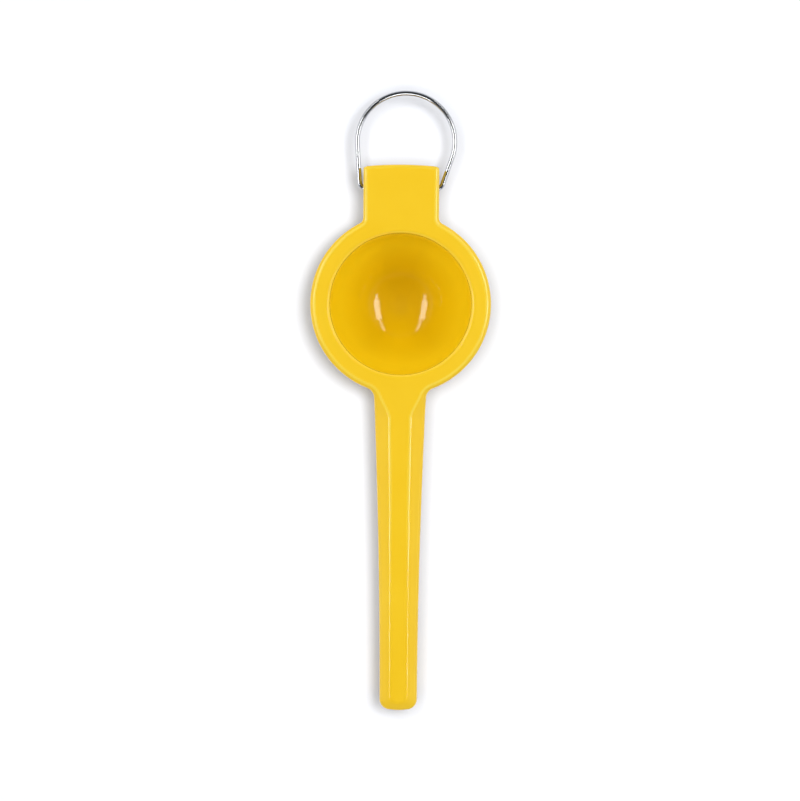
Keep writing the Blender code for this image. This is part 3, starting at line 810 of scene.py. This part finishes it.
def drawn_stainless():
    """Bright drawn stainless wire: mirror-like across, with hair-fine lines that the die left along it."""
    material, tree, shader = new_material("drawn stainless wire")
    shader.inputs["Metallic"].default_value = 1.0
    run = add_node(tree, "ShaderNodeUVMap", {"uv_map": "wire_run"}).outputs["UV"]
    # 60 lines round the wire, each some 9 mm long, coarser than real ones so that they show
    stretched = add_node(tree, "ShaderNodeVectorMath", {"operation": "MULTIPLY"}, {0: run})
    stretched.inputs[1].default_value = (60.0, 1 / 0.009, 1.0)
    lines = add_node(
        tree, "ShaderNodeTexNoise",
        {"Scale": 1.0, "Detail": 3.0, "Roughness": 0.6}, {"Vector": stretched.outputs[0]},
    )
    sheen = add_node(
        tree, "ShaderNodeMapRange",
        {"From Min": 0.3, "From Max": 0.7, "To Min": 0.05, "To Max": 0.14},
        {"Value": lines.outputs["Fac"]},
    )
    tree.links.new(sheen.outputs["Result"], shader.inputs["Roughness"])
    tone = add_node(
        tree, "ShaderNodeMix",
        {"data_type": "RGBA", "A": linear("#c9c9cb"), "B": linear("#b4b5b8")},
        {"Factor": lines.outputs["Fac"]},
    )
    tree.links.new(tone.outputs[2], shader.inputs["Base Color"])
    grooves = add_node(
        tree, "ShaderNodeBump", {"Strength": 0.4, "Distance": 0.000008}, {"Height": lines.outputs["Fac"]}
    )
    tree.links.new(grooves.outputs["Normal"], shader.inputs["Normal"])
    return material


def turned_steel():
    """Plain steel tube: duller than the wire, with fine turning marks round it."""
    material, tree, shader = new_material("turned steel tube")
    shader.inputs["Metallic"].default_value = 1.0
    place = add_node(tree, "ShaderNodeTexCoord").outputs["Object"]
    # Marks 0.15 mm apart along the tube
    squeezed = add_node(tree, "ShaderNodeVectorMath", {"operation": "MULTIPLY"}, {0: place})
    squeezed.inputs[1].default_value = (1 / 0.00015, 1 / 0.006, 1 / 0.006)
    marks = add_node(
        tree, "ShaderNodeTexNoise",
        {"Scale": 1.0, "Detail": 2.0, "Roughness": 0.5}, {"Vector": squeezed.outputs[0]},
    )
    sheen = add_node(
        tree, "ShaderNodeMapRange",
        {"From Min": 0.3, "From Max": 0.7, "To Min": 0.26, "To Max": 0.42},
        {"Value": marks.outputs["Fac"]},
    )
    tree.links.new(sheen.outputs["Result"], shader.inputs["Roughness"])
    tone = add_node(
        tree, "ShaderNodeMix",
        {"data_type": "RGBA", "A": linear("#b9b9ba"), "B": linear("#9fa0a3")},
        {"Factor": marks.outputs["Fac"]},
    )
    tree.links.new(tone.outputs[2], shader.inputs["Base Color"])
    grooves = add_node(
        tree, "ShaderNodeBump", {"Strength": 0.4, "Distance": 0.00001}, {"Height": marks.outputs["Fac"]}
    )
    tree.links.new(grooves.outputs["Normal"], shader.inputs["Normal"])
    return material


def white_floor():
    """Matt white studio floor. Seen straight or in a reflection it is white, and it keeps the shadow."""
    material, tree, shader = new_material("white studio floor")
    path = add_node(tree, "ShaderNodeLightPath")
    seen = add_node(
        tree, "ShaderNodeMath", {"operation": "ADD", "use_clamp": True},
        {0: path.outputs["Is Camera Ray"], 1: path.outputs["Is Glossy Ray"]},
    )
    seen = add_node(
        tree, "ShaderNodeMath", {"operation": "ADD", "use_clamp": True},
        {0: seen.outputs[0], 1: path.outputs["Is Transmission Ray"]},
    )
    tone = add_node(
        tree, "ShaderNodeMix",
        {"data_type": "RGBA", "A": (0.33, 0.33, 0.33, 1.0), "B": (0.497, 0.507, 0.537, 1.0)},
        {"Factor": seen.outputs[0]},
    )
    paper = add_node(tree, "ShaderNodeBsdfDiffuse", {}, {"Color": tone.outputs[2]})
    tree.links.new(paper.outputs[0], tree.nodes["Material Output"].inputs["Surface"])
    tree.nodes.remove(shader)
    return material


def make_floor():
    """The studio floor that the press lies on, which isn't part of it."""
    mesh = bmesh.new()
    bmesh.ops.create_grid(mesh, x_segments=1, y_segments=1, size=FLOOR_HALF)
    data = bpy.data.meshes.new("floor")
    mesh.to_mesh(data)
    mesh.free()
    floor = bpy.data.objects.new("floor", data)
    bpy.context.scene.collection.objects.link(floor)
    data.materials.append(white_floor())
    return floor


def lit_group(name, pieces):
    """A collection of what a lamp lights."""
    group = bpy.data.collections.new(name)
    for piece in pieces:
        group.objects.link(piece)
    return group


def hang_lamp(name, place, size, radiance, lit, tilt, turn=0.0):
    """A flat soft lamp that looks down, tilted across X and turned about Z. It lights what is in lit."""
    lamp = bpy.data.lights.new(name, "AREA")
    lamp.shape = "RECTANGLE"
    lamp.size, lamp.size_y = size
    lamp.energy = radiance * math.pi * lamp.size * lamp.size_y
    thing = bpy.data.objects.new(name, lamp)
    bpy.context.scene.collection.objects.link(thing)
    thing.location = place
    thing.rotation_euler = (0.0, math.radians(tilt), math.radians(turn))
    thing.visible_camera = False
    thing.light_linking.receiver_collection = lit
    return thing


def hang_lamps(pieces, loop, floor):
    """Long softboxes light the press, seen in its bowl as bright strips. The floor has lamps of its own.

    Each lamp has its place and size in metres, its radiance, what it lights, its tilt and its turn in
    degrees. The fills even out the castings' shade and don't show in their gloss.
    """
    press = lit_group("lit by the softboxes", pieces)
    castings = lit_group("lit by the fill", pieces[:2])
    wire = lit_group("lit by the loop's lamp", [loop])
    ground = lit_group("lit by the floor lamps", [floor])
    for side, radiance in ((1, 10.3), (-1, 9.7)):
        name = f"softbox {side:+d}"
        hang_lamp(name, (side * 1.59, 0.38, 2.0), (0.44, 1.37), radiance, press, side * 39, side * 7)
        end = (side * 1.37, 1.60, 2.0)
        hang_lamp(name + " end", end, (0.20, 1.05), 0.7 * radiance, press, side * 36, side * 9)
        front = (side * 1.70, -0.52, 2.0)
        hang_lamp(name + " front", front, (0.20, 0.46), radiance, press, side * 40, side * 7)
    fills = (
        hang_lamp("fill overhead", (0.0, 0.05, 0.70), (0.30, 0.30), 1.1, castings, 0),
        hang_lamp("fill beyond the hinge", (0.0, 2.0, 0.90), (0.6, 1.5), 2.7, castings, 66, 90),
        hang_lamp("fill before the handles", (0.0, -1.9, 1.2), (0.8, 1.5), 2.1, castings, 58, -90),
    )
    for fill in fills:
        fill.visible_glossy = False
    hang_lamp("loop lamp", (0.0, -1.7, 2.0), (0.5, 2.4), 8.0, wire, 41, -90)
    hang_lamp("floor lamp overhead", (0.0, 0.0, 3.0), (0.84, 0.84), 54.0, ground, 0)
    hang_lamp("floor lamp beside", (0.34, 0.05, 3.0), (0.37, 0.37), 105.0, ground, 6.5)


def light_room():
    """The room round the press: pale walls beside it, dimmer blue ones past its ends, a dim ceiling."""
    world = bpy.data.worlds.new("studio room")
    bpy.context.scene.world = world
    world.use_nodes = True
    tree = world.node_tree
    way = add_node(tree, "ShaderNodeTexCoord").outputs["Generated"]
    apart = add_node(tree, "ShaderNodeSeparateXYZ", {}, {"Vector": way})
    wall = add_node(
        tree, "ShaderNodeMapRange",
        {"From Min": 0.45, "From Max": 0.70, "To Min": 1.25, "To Max": 0.09},
        {"Value": apart.outputs["Z"]},
    )
    endwise = add_node(tree, "ShaderNodeMath", {"operation": "ABSOLUTE"}, {0: apart.outputs["Y"]})
    end_walls = add_node(
        tree, "ShaderNodeMapRange",
        {"From Min": 0.20, "From Max": 0.60, "To Min": 1.0, "To Max": 0.35},
        {"Value": endwise.outputs[0]},
    )
    strength = add_node(
        tree, "ShaderNodeMath", {"operation": "MULTIPLY"},
        {0: wall.outputs["Result"], 1: end_walls.outputs["Result"]},
    )
    tone = add_node(
        tree, "ShaderNodeMix",
        {"data_type": "RGBA", "A": (0.74, 0.87, 1.0, 1.0), "B": (1.0, 1.0, 1.0, 1.0)},
        {"Factor": end_walls.outputs["Result"]},
    )
    tree.links.new(tone.outputs[2], tree.nodes["Background"].inputs["Color"])
    tree.links.new(strength.outputs[0], tree.nodes["Background"].inputs["Strength"])


def place_camera():
    """Straight above the press, far enough off that the wire loop keeps its size."""
    lens = bpy.data.cameras.new("overhead camera")
    lens.sensor_width = SENSOR_WIDTH
    lens.lens = SENSOR_WIDTH * CAMERA_HEIGHT / FRAME_WIDTH
    lens.clip_end = 50.0
    camera = bpy.data.objects.new("overhead camera", lens)
    bpy.context.scene.collection.objects.link(camera)
    camera.location = (VIEW_MIDDLE[0], VIEW_MIDDLE[1], RIM_TOP + CAMERA_HEIGHT)
    camera.rotation_euler = (0.0, 0.0, math.radians(ROLL))
    bpy.context.scene.camera = camera


def main():
    bpy.context.scene.view_settings.view_transform = "Standard"
    place_camera()
    enamel, wire, tube = baked_enamel(), drawn_stainless(), turned_steel()
    pieces = (
        (make_upper_casting(), "upper_arm", "upper_arm", enamel, "enamel"),
        (make_lower_casting(), "lower_arm", "lower_arm", enamel, "enamel"),
        (make_pin(), "hinge_pin", "lower_arm", tube, "pin_steel"),
        (make_loop(), "hanging_loop", "hanging_loop", wire, "loop_steel"),
    )
    for piece, node, body, material, slot in pieces:
        piece.data.materials.clear()
        piece.data.materials.append(material)
        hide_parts(node)
        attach(piece, body)
    hang_lamps([piece for piece, *_ in pieces], pieces[-1][0], make_floor())
    light_room()


main()
